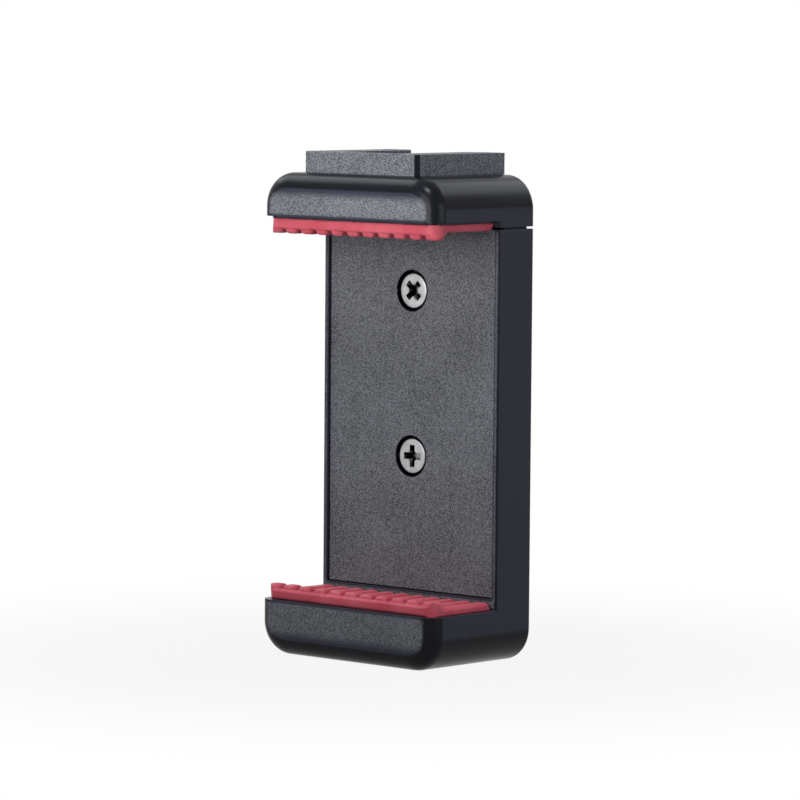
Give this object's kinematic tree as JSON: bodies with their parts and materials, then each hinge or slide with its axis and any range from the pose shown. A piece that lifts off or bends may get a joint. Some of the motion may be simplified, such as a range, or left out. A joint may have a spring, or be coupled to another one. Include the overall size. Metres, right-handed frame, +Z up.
{
  "type": "tripod phone mount adapter",
  "caption": "Sprung phone clamp with ribbed rubber jaw pads, a threaded tripod socket in its base and an accessory shoe on its sliding upper jaw.",
  "frame": {"origin": "middle of the base, under the middle of the clamp's whole depth", "axes": "+X to the right seen from the phone's side, +Y to the back, +Z up along the jaw's travel"},
  "size_m": [0.041, 0.0254, 0.0875],
  "materials": {
    "black_moulding": "fine moulded grain on the fronts, smoother satin sides",
    "pad_rubber": "soft matte red rubber",
    "screw_steel": "dull nickel plating",
    "spring_steel": "drawn wire",
    "nut_brass": "turned"
  },
  "bodies": {
    "housing": {"body_shell": "black_moulding", "front_cover": "black_moulding", "cover_screw_upper": "screw_steel", "cover_screw_lower": "screw_steel", "lower_jaw_plate": "black_moulding", "lower_plate_screw_left": "screw_steel", "lower_plate_screw_right": "screw_steel", "tripod_nut": "nut_brass", "lower_pad": "pad_rubber", "spring_left": "spring_steel", "spring_right": "spring_steel"},
    "sliding_jaw": {"upper_jaw": "black_moulding", "slide_tongue": "black_moulding", "tongue_screw_left": "screw_steel", "tongue_screw_right": "screw_steel", "upper_pad": "pad_rubber", "cold_shoe": "black_moulding", "shoe_screw_front": "screw_steel", "shoe_screw_rear": "screw_steel"}
  },
  "joints": [
    {"name": "jaw_slide", "type": "slide", "parent": "housing", "child": "sliding_jaw", "axis": [0, 0, 1], "range_m": [0, 0.028], "stiffness_N_per_m": 250, "springref_m": -0.02, "deforming": ["spring_left", "spring_right"]}
  ]
}
